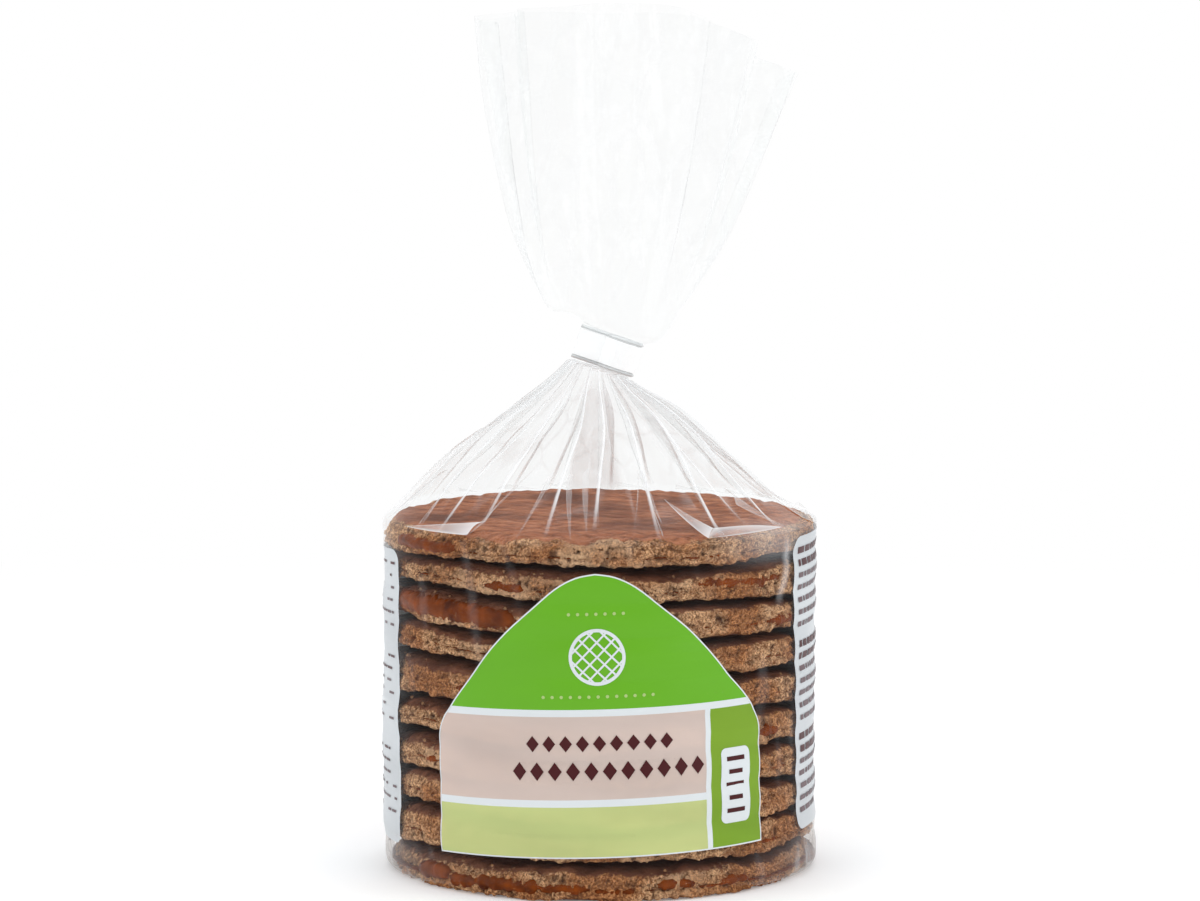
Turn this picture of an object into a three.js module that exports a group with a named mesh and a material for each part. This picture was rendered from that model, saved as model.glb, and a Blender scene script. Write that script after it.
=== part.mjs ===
// A clear film bag of ten stroopwafels, closed at the neck by a white clip band with a wire along each edge.
//
// Millimetres, +Z up, front towards -Y. The origin is the middle of the base, where the pack stands.
// The sealed bag and the stack that it holds tight are one solid: a flat base with a rounded foot, ten wafer
// rims showing as ridges, a pleated crown, the squeezed neck, and the loose end of the bag fanned out above it.
import * as THREE from "three";
import { ParametricGeometry } from "three/addons/geometries/ParametricGeometry.js";
import { mergeVertices } from "three/addons/utils/BufferGeometryUtils.js";

// ---- Driving dimensions -------------------------------------------------------------------------------------

const waffleCount = 10;
const wafflePitch = 8.2; // one wafer and the thin gap above it
const bagRadius = 50; // film drawn round the rims of the wafers
const gapDepth = 1.3; // how far the film sinks between two rims
const rimOffset = 0.35; // each wafer lies a little off the middle of the stack
const rimUnevenness = 0.3; // rims crumble and are not quite round
const gapWaviness = 0.6; // wafers are not quite flat

const footAtFront = 6.5; // rounding of the lower edge, front and back
const footAtSides = 3; // the film's folded corners stand out squarer, left and right

const crownPleats = 14;
const pleatHeight = 2.6;
const crownSag = 6; // how much the left side is full low down, and the right side high up
const bunchHalfWidth = 7.4; // film bunched under the clip and its tail
const bunchHalfDepth = 6.2;
const bunchShift = 3.6; // the bunch reaches further left than the neck

const neckHeight = 117.9; // middle of the clip
const neckShift = 4.6; // the neck stands a little to the right of the middle
const neckLean = THREE.MathUtils.degToRad(18.7);
const neckHalfWidth = 3.3;
const neckHalfDepth = 2.8;
const neckFlutes = 0.08; // share by which the gathered film stands in and out

const fanHeight = 73; // loose end of the bag above the neck
const fanHalfWidth = 35;
const fanHalfDepth = 11;
const fanFolds = 12;
const foldDepth = 0.2; // share of the half width
const fanShift = 2.6; // the fan leans this much to the right
const fanCrest = 3.5; // the middle of the mouth stands higher than its left corner
const fanDrop = 14; // the right corner has dropped

const clipWidth = 8; // over both wires
const bandThickness = 0.7;
const clipTail = 6.7; // the two ends of the band, pinched flat together
const pinchGap = 0.15; // from the middle to either end of the band
const wireRadius = 0.4;
const clearance = 0.3;

const aroundSteps = 84; // a multiple of both the pleats and the folds
const turn = Math.PI * 2;
const stackHeight = waffleCount * wafflePitch;

// ---- Small helpers ------------------------------------------------------------------------------------------

const mix = THREE.MathUtils.lerp;
const smooth = THREE.MathUtils.smoothstep;

// A repeatable number from 0 to 1 for a whole number n.
function draw(n) {
  const x = Math.sin(n * 127.1 + 311.7) * 43758.5453;
  return x - Math.floor(x);
}

// A slow uneven wave round the bag, from -1 to 1, different for each seed.
function unevenWave(angle, seed) {
  let sum = 0;
  for (const turns of [2, 3, 5]) {
    sum += Math.cos(turns * angle + turn * draw(seed * 7 + turns)) / 3;
  }
  return sum;
}

function around(radius, angle, height) {
  return new THREE.Vector3(radius * Math.cos(angle), radius * Math.sin(angle), height);
}

// ---- The bag, station by station from the middle of the base to the middle of the mouth ---------------------
// A station is a closed ring: a function of the angle round the bag that gives a point.

function footRadius(angle) {
  return mix(footAtSides, footAtFront, Math.sin(angle) ** 2);
}

function baseStations() {
  const shares = [0, 0.55, 1];
  return shares.map((share) => (angle) => around((bagRadius - footRadius(angle)) * share, angle, 0));
}

function footStations() {
  const bends = [30, 60].map(THREE.MathUtils.degToRad);
  return bends.map((bend) => (angle) => {
    const foot = footRadius(angle);
    return around(bagRadius - foot * (1 - Math.sin(bend)), angle, foot * (1 - Math.cos(bend)));
  });
}

// How far a rim stands out at an angle: each wafer lies a little off centre and has an uneven edge.
function rimRadius(waffle, angle) {
  const offset = rimOffset * Math.cos(angle - turn * draw(waffle + 40));
  return bagRadius + offset + rimUnevenness * unevenWave(angle, waffle + 1);
}

// A ring on the rim of one wafer, at a share of its thickness.
function rimStation(waffle, share) {
  return (angle) => {
    const height = (waffle + share) * wafflePitch + gapWaviness * unevenWave(angle, waffle + 60) * share;
    return around(rimRadius(waffle, angle), angle, height);
  };
}

// The ring between a wafer and the one above it.
function gapStation(waffle) {
  return (angle) => {
    const radius = (rimRadius(waffle, angle) + rimRadius(waffle + 1, angle)) / 2 - gapDepth;
    const height = (waffle + 1) * wafflePitch + gapWaviness * unevenWave(angle, waffle + 60);
    return around(radius, angle, height);
  };
}

function stackStations() {
  const rimBottom = 0.22;
  const rimTop = 0.8;
  const rings = [];
  for (let waffle = 0; waffle < waffleCount; waffle++) {
    if (waffle > 0) {
      rings.push(rimStation(waffle, rimBottom));
    }
    rings.push(rimStation(waffle, rimTop));
    if (waffle < waffleCount - 1) {
      rings.push(gapStation(waffle));
    }
  }
  return rings;
}

// Height of the pleats at an angle, up to 1: narrow ridges of unequal height with wide hollows between them.
function pleat(angle) {
  const hollow = 0.12;
  const narrowness = 2.3;
  const place = (angle / turn) * crownPleats;
  const nearest = Math.round(place);
  const number = nearest % crownPleats;
  const sideways = 0.22 * (draw(number + 3) - 0.5);
  const away = Math.abs(place - nearest - sideways);
  const height = 0.45 + 0.55 * draw(number + 23);
  return height * Math.max(0, 1 - away * narrowness) - hollow;
}

// A point in the leaning frame of the neck: across to the right, deep to the back, along up the neck.
function neckPoint(across, deep, along) {
  return new THREE.Vector3(
    neckShift + across * Math.cos(neckLean) + along * Math.sin(neckLean),
    deep,
    neckHeight - across * Math.sin(neckLean) + along * Math.cos(neckLean),
  );
}

// The film bunched close under the clip.
function bunchPoint(angle) {
  const across = bunchHalfWidth * Math.cos(angle) - bunchShift;
  return neckPoint(across, bunchHalfDepth * Math.sin(angle), -clipWidth / 2 - 2 * wireRadius);
}

// The crown runs from the rim of the top wafer to the bunch. Its left side is full near the rim and its right
// side near the neck, and its pleats rise in the middle and pack together at the neck.
function crownStation(share) {
  const reach = bagRadius - 0.8;
  const rimHeight = stackHeight + 0.6;
  const slope = Math.atan2(neckHeight - stackHeight, reach);
  const rise = pleatHeight * Math.sin(Math.PI * share ** 0.75) + 0.7 * share;
  const sag = crownSag * Math.sin(Math.PI * share) * (share - 0.55);
  return (angle) => {
    const lift = rise * pleat(angle) + sag * Math.cos(angle);
    const lifted = around(lift * Math.sin(slope), angle, lift * Math.cos(slope));
    return around(reach, angle, rimHeight).lerp(bunchPoint(angle), share).add(lifted);
  };
}

function crownStations() {
  return [0, 0.05, 0.14, 0.26, 0.4, 0.55, 0.7, 0.85, 1].map(crownStation);
}

function neckStations() {
  const half = clipWidth / 2;
  return [-half - wireRadius, half].map((along) => (angle) => {
    const flute = 1 + neckFlutes * Math.cos(fanFolds * angle);
    return neckPoint(neckHalfWidth * flute * Math.cos(angle), neckHalfDepth * flute * Math.sin(angle), along);
  });
}

// Folds of the fan: a zigzag of unequal height round its outline, from -1 to 1.
function fold(angle) {
  const place = (angle / turn) * fanFolds;
  const number = Math.floor(place);
  const zigzag = 1 - 4 * Math.abs(place - number - 0.5);
  return zigzag * (0.55 + 0.45 * draw(number + 80));
}

// The loose end opens quickly from the neck, more so on the left, then runs on as a flat fan. A share of 0 is
// at the neck and 1 at the mouth, and an inset below 1 is inside the mouth's outline.
function fanPoint(angle, share, inset) {
  const opening = share ** (0.38 + 0.06 * Math.cos(angle));
  const width = mix(neckHalfWidth, fanHalfWidth, opening);
  const depth = mix(neckHalfDepth, fanHalfDepth, opening);
  const folded = foldDepth * smooth(share, 0, 0.4) * fold(angle);
  const lean = neckLean * (1 - smooth(share, 0, 0.45));
  const across = width * (1 + folded) * inset * Math.cos(angle);
  const deep = depth * (1 + 1.35 * folded) * inset * Math.sin(angle);
  const drop = fanDrop * Math.max(0, Math.cos(angle)) ** 2.5;
  const crest = fanCrest * Math.abs(Math.sin(angle)) + unevenWave(angle, 9) - drop;
  const neckTop = neckPoint(0, 0, clipWidth / 2);
  const middle = neckTop.x + fanShift * share;
  const height = neckTop.z + fanHeight * share + crest * share * share * inset;
  return new THREE.Vector3(
    middle + across * Math.cos(lean),
    deep,
    height - across * Math.sin(lean),
  );
}

function fanStations() {
  const shares = [0.01, 0.05, 0.13, 0.25, 0.42, 0.62, 0.82, 1];
  return shares.map((share) => (angle) => fanPoint(angle, share, 1));
}

// The mouth dips between the folded edges.
function mouthStations() {
  const mouthDip = 8;
  const insets = [0.72, 0.36, 0];
  return insets.map((inset) => (angle) => {
    const point = fanPoint(angle, 1, inset);
    point.z -= mouthDip * (1 - inset ** 2);
    return point;
  });
}

function closedGeometry(geometry) {
  geometry.deleteAttribute("normal");
  geometry.deleteAttribute("uv");
  const merged = mergeVertices(geometry, 1e-4);
  merged.computeVertexNormals();
  return merged;
}

function bagGeometry() {
  const stations = [
    ...baseStations(),
    ...footStations(),
    ...stackStations(),
    ...crownStations(),
    ...neckStations(),
    ...fanStations(),
    ...mouthStations(),
  ];
  const last = stations.length - 1;
  const surface = (share, upward, target) => {
    target.copy(stations[Math.round(upward * last)]((share % 1) * turn));
  };
  return closedGeometry(new ParametricGeometry(surface, aroundSteps, last));
}

// ---- The clip: a white band folded round the neck, its ends pinched flat on the left, a wire in each edge ---

const loopHalfWidth = neckHalfWidth * (1 + neckFlutes) + clearance; // inside of the loop
const loopHalfDepth = neckHalfDepth * (1 + neckFlutes) + clearance;

// A line at an offset from the band's inner face: from one tail end, round the neck, to the other tail end.
function bandLine(offset) {
  const depth = loopHalfDepth + offset;
  const pinch = pinchGap + offset;
  const tailEnd = -loopHalfWidth - clipTail;
  const throat = Math.asin((pinch + 2 * clearance) / depth);
  const steps = 24;
  const points = [new THREE.Vector2(tailEnd, -pinch)];
  for (let step = 0; step <= steps; step++) {
    const angle = mix(throat - Math.PI, Math.PI - throat, step / steps);
    points.push(new THREE.Vector2((loopHalfWidth + offset) * Math.cos(angle), depth * Math.sin(angle)));
  }
  points.push(new THREE.Vector2(tailEnd, pinch));
  return points;
}

function bandGeometry() {
  const outline = new THREE.Shape([...bandLine(bandThickness), ...bandLine(0).reverse()]);
  const width = clipWidth - 4 * wireRadius - clearance;
  const geometry = new THREE.ExtrudeGeometry(outline, { depth: width, bevelEnabled: false });
  geometry.translate(0, 0, -width / 2);
  return closedGeometry(geometry);
}

function wireGeometry() {
  const points = bandLine(bandThickness / 2).map((point) => new THREE.Vector3(point.x, point.y, 0));
  const path = new THREE.CatmullRomCurve3(points, false, "centripetal");
  const section = new THREE.Shape();
  section.absarc(0, 0, wireRadius, 0, turn, false);
  const options = { extrudePath: path, steps: 48, curveSegments: 2, bevelEnabled: false };
  return closedGeometry(new THREE.ExtrudeGeometry(section, options));
}

// ---- Materials and assembly ---------------------------------------------------------------------------------

const film = new THREE.MeshStandardMaterial({ color: 0x8f5a38, roughness: 0.25, metalness: 0 });
const whiteBand = new THREE.MeshStandardMaterial({ color: 0xf4f4f2, roughness: 0.5, metalness: 0 });
const steelWire = new THREE.MeshStandardMaterial({ color: 0x8c8e8e, roughness: 0.35, metalness: 0.9 });

function named(name, geometry, material) {
  const mesh = new THREE.Mesh(geometry, material);
  mesh.name = name;
  return mesh;
}

function clipWire(name, side) {
  const wire = named(name, wireGeometry(), steelWire);
  wire.position.z = side * (clipWidth / 2 - wireRadius);
  return wire;
}

const clip = new THREE.Group();
clip.position.copy(neckPoint(0, 0, 0));
clip.rotation.y = neckLean;
clip.add(named("clip_band", bandGeometry(), whiteBand));
clip.add(clipWire("clip_wire_lower", -1));
clip.add(clipWire("clip_wire_upper", 1));

const pack = new THREE.Group();
pack.add(named("sealed_bag", bagGeometry(), film));
pack.add(clip);

export default pack;
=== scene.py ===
# A clear film bag of ten stroopwafels, gathered at the neck under a white clip band with wired edges.
# Metres, +Z up, front towards -Y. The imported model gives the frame: every piece here sits where it says.
import functools
from math import atan2, ceil, cos, degrees, exp, floor, hypot, pi, radians, sin, sqrt

import bmesh
import bpy
from mathutils import Euler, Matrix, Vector, noise


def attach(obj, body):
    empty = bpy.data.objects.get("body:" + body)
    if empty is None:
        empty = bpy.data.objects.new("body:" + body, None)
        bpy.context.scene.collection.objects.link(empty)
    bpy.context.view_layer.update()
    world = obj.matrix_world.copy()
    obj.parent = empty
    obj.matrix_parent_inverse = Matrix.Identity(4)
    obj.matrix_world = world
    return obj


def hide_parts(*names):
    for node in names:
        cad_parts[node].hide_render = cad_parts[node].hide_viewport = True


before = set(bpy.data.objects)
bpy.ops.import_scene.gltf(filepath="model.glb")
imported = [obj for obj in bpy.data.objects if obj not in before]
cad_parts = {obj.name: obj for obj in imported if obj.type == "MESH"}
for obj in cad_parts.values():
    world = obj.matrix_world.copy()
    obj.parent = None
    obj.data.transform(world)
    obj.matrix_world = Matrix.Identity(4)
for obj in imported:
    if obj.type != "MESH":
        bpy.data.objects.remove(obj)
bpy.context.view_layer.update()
mm = 0.001
scene = bpy.context.scene


# ---- The studio ----
# A pale sweep of paper, floor and backdrop in one, with a large soft light on each side and one overhead.
# The camera stands about 80 cm away, a little higher than the middle of the bag.

def new_piece(name, mesh, material):
    piece = bpy.data.objects.new(name, mesh)
    scene.collection.objects.link(piece)
    mesh.materials.append(material)
    return piece


def finished_mesh(name, bm, smooth=True):
    for face in bm.faces:
        face.smooth = smooth
    mesh = bpy.data.meshes.new(name)
    bm.to_mesh(mesh)
    bm.free()
    return mesh


def feed(tree, value, socket):
    """Set a socket to a number or a colour, or link another node's output to it."""
    if isinstance(value, tuple):
        socket.default_value = (*value, 1)
    elif isinstance(value, (int, float)):
        socket.default_value = value
    else:
        tree.links.new(value, socket)


def output(tree, kind, name):
    return tree.nodes.new("ShaderNode" + kind).outputs[name]


def math_node(tree, operation, first, second, clamp=False):
    node = tree.nodes.new("ShaderNodeMath")
    node.operation = operation
    node.use_clamp = clamp
    feed(tree, first, node.inputs[0])
    feed(tree, second, node.inputs[1])
    return node.outputs[0]


def times(tree, first, second):
    return math_node(tree, "MULTIPLY", first, second)


def spread(tree, value, low, high, easing="LINEAR"):
    """Stretch the values from low to high over 0 to 1, or turned round if low is the higher."""
    node = tree.nodes.new("ShaderNodeMapRange")
    node.interpolation_type = easing
    feed(tree, low, node.inputs["From Min"])
    feed(tree, high, node.inputs["From Max"])
    feed(tree, value, node.inputs["Value"])
    return node.outputs["Result"]


def mixed_shader(tree, share, first, second):
    node = tree.nodes.new("ShaderNodeMixShader")
    for socket, value in zip(node.inputs, (share, first, second)):
        feed(tree, value, socket)
    return node.outputs[0]


def opened(material):
    return material.node_tree, material.node_tree.nodes["Principled BSDF"]


def give(material, **sockets):
    """Set or link the sockets of a material's shader, each named with _ for a space."""
    tree, shader = opened(material)
    for name, value in sockets.items():
        feed(tree, value, shader.inputs[name.replace("_", " ")])
    return material


def plain_material(name, colour, roughness, **others):
    material = bpy.data.materials.new(name)
    material.use_nodes = True
    return give(material, Base_Color=colour, Roughness=roughness, **others)


def paper_sweep():
    half_width, front, back, bend, top = 3.0, -2.5, 0.9, 0.6, 2.4
    floor_part, bend_part = 0.4, 0.4
    bm = bmesh.new()
    bmesh.ops.create_grid(bm, x_segments=1, y_segments=50, size=0.5)
    for vert in bm.verts:
        share = vert.co.y + 0.5
        corner = min(1, max(0, (share - floor_part) / bend_part)) * pi / 2
        floor_reach = min(1, share / floor_part)
        climb = max(0, (share - floor_part - bend_part) / (1 - floor_part - bend_part))
        vert.co = Vector((
            vert.co.x * 2 * half_width,
            front + (back - front) * floor_reach + bend * sin(corner),
            bend * (1 - cos(corner)) + (top - bend) * climb,
        ))
    paper = plain_material("white_paper", (0.9, 0.9, 0.9), 0.9, Specular_IOR_Level=0,
                           Emission_Color=(1, 1, 1), Emission_Strength=0.16)
    tree, shader = opened(paper)
    # Away from the bag the paper is lit to plain white, without throwing that light back on the bag.
    away = tree.nodes.new("ShaderNodeVectorMath")
    away.operation = "LENGTH"
    feed(tree, output(tree, "TexCoord", "Object"), away.inputs[0])
    far = spread(tree, away.outputs["Value"], 0.16, 0.7, "SMOOTHSTEP")
    seen = times(tree, far, output(tree, "LightPath", "Is Camera Ray"))
    lit = mixed_shader(tree, seen, shader.outputs[0], output(tree, "Emission", 0))
    feed(tree, lit, tree.nodes["Material Output"].inputs["Surface"])
    return new_piece("paper_sweep", finished_mesh("paper_sweep", bm), paper)


paper_sweep()


def aimed(name, data, place, aim):
    """Stand a light or a camera somewhere, turned towards a point."""
    stand = bpy.data.objects.new(name, data)
    stand.location = place
    stand.rotation_euler = (Vector(aim) - Vector(place)).to_track_quat("-Z", "Y").to_euler()
    scene.collection.objects.link(stand)
    return stand


def soft_light(name, place, size, power):
    light = bpy.data.lights.new(name, "AREA")
    light.shape = "RECTANGLE"
    light.size, light.size_y = size
    light.energy = power
    aimed(name, light, place, (0, 0, 0.1))


soft_light("left_light", (-1.3, -0.8, 0.9), (1.6, 1.6), 9)
soft_light("right_light", (1.3, -0.7, 0.8), (1.4, 1.6), 9.8)
soft_light("top_light", (0.0, 0.1, 1.5), (1.6, 1.2), 9)

world = bpy.data.worlds.new("studio")
world.use_nodes = True
room = world.node_tree
dim = room.nodes["Background"]
feed(room, (0.95, 0.97, 1.0), dim.inputs["Color"])
feed(room, 0.52, dim.inputs["Strength"])
bright = room.nodes.new("ShaderNodeBackground")
feed(room, (1, 1, 1), bright.inputs["Color"])
seen = mixed_shader(room, output(room, "LightPath", "Is Camera Ray"), dim.outputs[0], bright.outputs[0])
feed(room, seen, room.nodes["World Output"].inputs["Surface"])
scene.world = world
scene.view_settings.view_transform = "Standard"
scene.cycles.transparent_max_bounces = 40
scene.cycles.max_bounces = 10

camera = bpy.data.cameras.new("camera")
camera.lens = 102.9
camera.sensor_width = 36
scene.camera = aimed("camera", camera, place=(0, -0.79, 0.153), aim=(0, 0, 0.0958))


# ---- The ten waffles ----
# Each is two thin wafers with syrup between them. The faces are baked brown and faintly crossed by the iron's
# diamonds, and the cut edge is pale and crumbly. They lie in a stack, none quite flat or quite in the middle.

waffle_count = 10
waffle_pitch = 8.2 * mm
bag_radius = 50 * mm
rim_offset = 0.35 * mm
rim_unevenness = 0.3 * mm
gap_waviness = 0.6 * mm
wafer_inset = 0.75 * mm  # from the film to the cut edge
wafer_clearance, syrup_clearance = 0.22 * mm, 0.14 * mm  # always left inside the film
top_slope = 1.9 * mm  # the top waffle rises this much to the back and falls as much to the front
full_side = 322  # the side where the stack is fullest, in degrees: the right of the front
turn = 2 * pi


def in_bag(name, mesh, material):
    """Make a piece of what stands in for the plain bag."""
    piece = new_piece(name, mesh, material)
    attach(piece, "root")
    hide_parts("sealed_bag")


def draw(n):
    """A repeatable number from 0 to 1 for a whole number n."""
    x = sin(n * 127.1 + 311.7) * 43758.5453
    return x - floor(x)


@functools.cache
def uneven_wave(angle, seed):
    return sum(cos(turns * angle + turn * draw(seed * 7 + turns)) / 3 for turns in (2, 3, 5))


def on_circle(angle, radius, height):
    return Vector((radius * cos(angle), radius * sin(angle), height))


def outward(angle):
    return on_circle(angle, 1, 0)


def cloud(x, y, z):
    return noise.noise(Vector((x, y, z)))


def rise(value, low, high):
    """0 up to 1 as the value goes from low to high, easing at both ends."""
    share = min(1, max(0, (value - low) / (high - low)))
    return share * share * (3 - 2 * share)


def mix(low, high, share):
    return low + (high - low) * share


@functools.cache
def rim_radius(waffle, angle):
    offset = rim_offset * cos(angle - turn * draw(waffle + 40))
    return bag_radius + offset + rim_unevenness * uneven_wave(angle, waffle + 1)


def film_gap(gap, angle):
    """Where the film sinks in between two rims: gap 0 is the floor, 10 the top of the stack."""
    if gap == 0:
        return 0
    back_lift = top_slope * sin(angle) if gap == waffle_count else 0
    return gap * waffle_pitch + gap_waviness * uneven_wave(angle, gap - 1 + 60) + back_lift


def lobe(angle, middle, reach):
    """1 at an angle in degrees, easing to 0 at its reach on either side."""
    away = (degrees(angle) - middle + 180) % 360 - 180
    return cos(pi / 2 * min(1, abs(away) / reach)) ** 2


# The waffles are unevenly thick: how far each gap is raised at the front left, from the lowest gap up.
left_lifts = [0, 0.5, 3.0, 1.8, 2.8, 2.5, 4.2, 2.5, 2.8, 0.7, 0]


@functools.cache
def gap_height(gap, angle):
    """Middle of the gap under waffle number `gap` at the rim."""
    raised = left_lifts[gap] * lobe(angle, 208, 65)
    raised += {1: 0.9 * lobe(angle, 270, 70), 9: 1.1 * lobe(angle, 326, 50)}.get(gap, 0)
    return film_gap(gap, angle) + raised * mm


# The outline of a waffle from the middle of its underside round the cut edge to the middle of its top, as
# (radius short of the rim, height) in millimetres.
under_edge = [(6, 0.15), (4, 0.15), (2.5, 0.18), (1.4, 0.25), (0.7, 0.4)]
cut_edge = [(0.25, 0.65), (0.05, 1.0), (0, 1.5), (0.1, 1.95), (0.35, 2.25), (0.5, 2.45), (0.35, 2.7)]
cut_edge += [(0.1, 3.0), (0.05, 3.4), (0.25, 3.9)]
shoulder = [(0.5, 4.35), (0.8, 4.95), (1.25, 5.5), (1.9, 6.0), (3, 6.4), (5, 6.65), (8, 6.8), (12, 7.0)]
top_shoulder = [(0.4, 4.4), (0.7, 5.2), (1.2, 6.0), (1.9, 6.8), (2.8, 7.4), (4, 7.8), (6, 7.95), (10, 8.0)]
dome = [(17, 7.5), (24, 8.0), (32, 8.15), (49, 8.15)]


def finer(points, spacing):
    """The same outline with more points, evenly spread along each stretch."""
    result = []
    for (r0, z0), (r1, z1) in zip(points, points[1:]):
        pieces = max(1, round(hypot(r1 - r0, z1 - z0) / spacing))
        result += [(mix(r0, r1, k / pieces), mix(z0, z1, k / pieces)) for k in range(pieces)]
    return result + [points[-1]]


def film_radius(angle, height):
    """How far the film stands out from the middle of the stack."""
    place = min(max(height / waffle_pitch - 0.5, 0), waffle_count - 1.001)
    lower = int(place)
    nearest = mix(rim_radius(lower, angle), rim_radius(lower + 1, angle), rise(place - lower, 0.25, 0.75))
    around = [rim_radius(min(max(lower + step, 0), waffle_count - 1), angle) for step in (-1, 0, 1, 2)]
    shares = [(1 - place + lower) / 6, (2 - place + lower) / 6 + 0.1]
    shares += [(1 + place - lower) / 6 + 0.1, (place - lower) / 6]
    bridged = sum(share * radius for share, radius in zip(shares, around)) / sum(shares)
    rim = mix(nearest, bridged, rise(cos(angle), 0, 0.8))
    gap = min(max(round(height / waffle_pitch), 1), waffle_count - 1)
    sink = mix(0.2, 0.4, rise(cos(angle), -0.3, 0.8)) * mm
    away = (height - film_gap(gap, angle) - 0.2 * mm) / (1.9 * mm)
    return rim - sink * exp(-away * away)


def welded_mesh(name, bm):
    bmesh.ops.remove_doubles(bm, verts=bm.verts, dist=2e-8)
    bmesh.ops.recalc_face_normals(bm, faces=bm.faces)
    return finished_mesh(name, bm)


def turned_mesh(name, around, along, point, layers):
    """A sheet closed round: `point` gives a place, and the named layers' values, for each angle and row."""
    bm = bmesh.new()
    bmesh.ops.create_grid(bm, x_segments=around, y_segments=along, size=0.5)
    made = [bm.verts.layers.float.new(layer) for layer in layers]
    for vert in bm.verts:
        angle = turn * round((vert.co.x + 0.5) * around) / around
        place, values = point(angle % turn, round((vert.co.y + 0.5) * along))
        vert.co = place
        for layer, value in zip(made, values):
            vert[layer] = value
    return welded_mesh(name, bm)


def waffle_mesh(number):
    shown_top = number == waffle_count - 1
    shown_under = number == 0
    shown = 1 if shown_top or shown_under else 0.3
    radius = bag_radius - wafer_inset
    fine_rings = [k / 40 for k in range(40)]
    under_rings = fine_rings if shown_under else (0, 0.4, 0.8)
    profile = [(share * (radius - 6 * mm), 0.15 * mm) for share in under_rings]
    rim = finer(under_edge + cut_edge, 0.3) + finer((top_shoulder if shown_top else shoulder)[:-2], 0.5)
    profile += [(radius - short * mm, height * mm) for short, height in rim]
    if shown_top:
        for share in reversed(fine_rings):
            profile.append((share * (radius - 5 * mm), (7.6 + 0.4 * min(1, (1 - share) * 12)) * mm))
    else:
        profile += [(max(0, radius - short * mm), height * mm) for short, height in shoulder[-2:] + dome]

    @functools.cache
    def rim_values(angle):
        way = outward(angle)

        def varied(size, seed):
            return cloud(way.x * size, way.y * size, seed)

        swell = varied(2.6, number * 5.3) + 0.6 * varied(9, number * 3.1)
        drop = varied(4.1, number * 9.1 + 3) + 0.5 * varied(14, number * 2.7)
        drop += 0.4 * varied(38, number * 1.7)
        dips = max(0, varied(5, 77)) + 0.6 * max(0, varied(13, 7))
        low, high = gap_height(number, angle), gap_height(number + 1, angle)
        return way, swell, drop, low, high, lobe(angle, full_side, 62), dips

    def waffle_point(angle, row):
        flat, level = profile[row]
        way, swell, drop, low, high, full, dips = rim_values(angle)
        broken = 1.6 * mm if shown_top else 0
        near_rim = rise(flat, radius - 3 * mm - broken, radius - 0.6 * mm - broken)
        cut_low, cut_top = 4.0 + 1.8 * full, 5.7 + 1.4 * full + (0.8 if shown_under else 0)
        if shown_top:
            cut_low, cut_top = 6.3 + 1.6 * swell, 7.7 + 0.5 * swell
        on_cut = near_rim * (1 - rise(level, cut_low * mm, cut_top * mm))
        place = (way * flat + Vector((0, 0, level + number * 31.7 * mm))) * 1000
        # The rim swells and thins along its length, and its lower edge hangs unevenly.
        lift = 1.25 * mm * swell * rise(level, 1.5 * mm, 4.5 * mm)
        lift *= 1 - rise(level, 6 * mm, 7.6 * mm)
        lift += 1.3 * mm * drop * (1 - rise(level, 1 * mm, 3 * mm)) * near_rim
        level_share = (level + lift) / waffle_pitch
        ease = rise(flat, 10 * mm, 48 * mm)
        if shown_top:
            tilt = top_slope * flat * way.y / bag_radius
            tilt -= 2.2 * mm * dips * rise(flat, radius - 9 * mm, radius - 2 * mm)
            height = number * waffle_pitch + level + lift
            height += mix((low - number * waffle_pitch) * ease, tilt, min(1, level_share))
        else:
            height = mix(number * waffle_pitch + level + lift, mix(low, high, level_share), ease)
        bump = 0
        if on_cut > 0.01:
            # Crumbs break out of the cut, and a few bigger bites are missing.
            crumb = 0.5 - noise.voronoi(place * 1.05)[0][0]
            clump = 0.42 - noise.voronoi(place * 0.5 + Vector((3, 1, number)))[0][0]
            bump = 0.65 * crumb + 0.35 * noise.noise(place * 2.1) + 0.5 * noise.noise(place * 0.33)
            bump += 0.8 * clump - 0.04
            height += 0.5 * mm * on_cut * noise.noise(place * 1.5 + Vector((9, 5, 2)))
        else:
            wavy = 0.35 * noise.noise(place * 0.07) + 0.3 * noise.noise(place * 0.16)
            wavy += 0.12 * noise.noise(place * 0.5)
            height += wavy * mm * shown * (1 if level > 4 * mm else -0.3)
        out = flat * rim_radius(number, angle) / bag_radius + on_cut * bump * mm
        out += 0.4 * mm * noise.noise(place * 0.5) * rise(flat, radius - 6 * mm, radius - 2 * mm)
        height = max(height, 0.16 * mm)
        bulge = 1.2 * mm * full * rise(level, 4.0 * mm, 5.4 * mm)
        out += bulge * (1 - rise(level, 6.0 * mm, 6.8 * mm))
        if number == 0:
            out -= 1.7 * mm * flat / radius * way.x**2
        out = max(0, min(out, film_radius(angle, height) - wafer_clearance))
        # The mesh also carries how deep each hollow of the cut is, for painted shade, and marks the top
        # waffle's open face, which is painted lighter as if lit.
        face = float(shown_top and level > 5.5 * mm)
        return way * out + Vector((0, 0, height)), (on_cut, max(0, -bump) * on_cut, face)

    name = f"waffle_{number + 1:02d}"
    return turned_mesh(name, 880, len(profile) - 1, waffle_point, ("cut", "hollow_shade", "face"))


def mixed(tree, share, low, high):
    node = tree.nodes.new("ShaderNodeMix")
    node.data_type = "RGBA"
    for socket, value in ((node.inputs[0], share), (node.inputs[6], low), (node.inputs[7], high)):
        feed(tree, value, socket)
    return node.outputs[2]


def shaded(tree, value, low, high, first, second):
    """The first colour where the value is at its low end, the second at its high end."""
    return mixed(tree, spread(tree, value, low, high), first, second)


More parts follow.
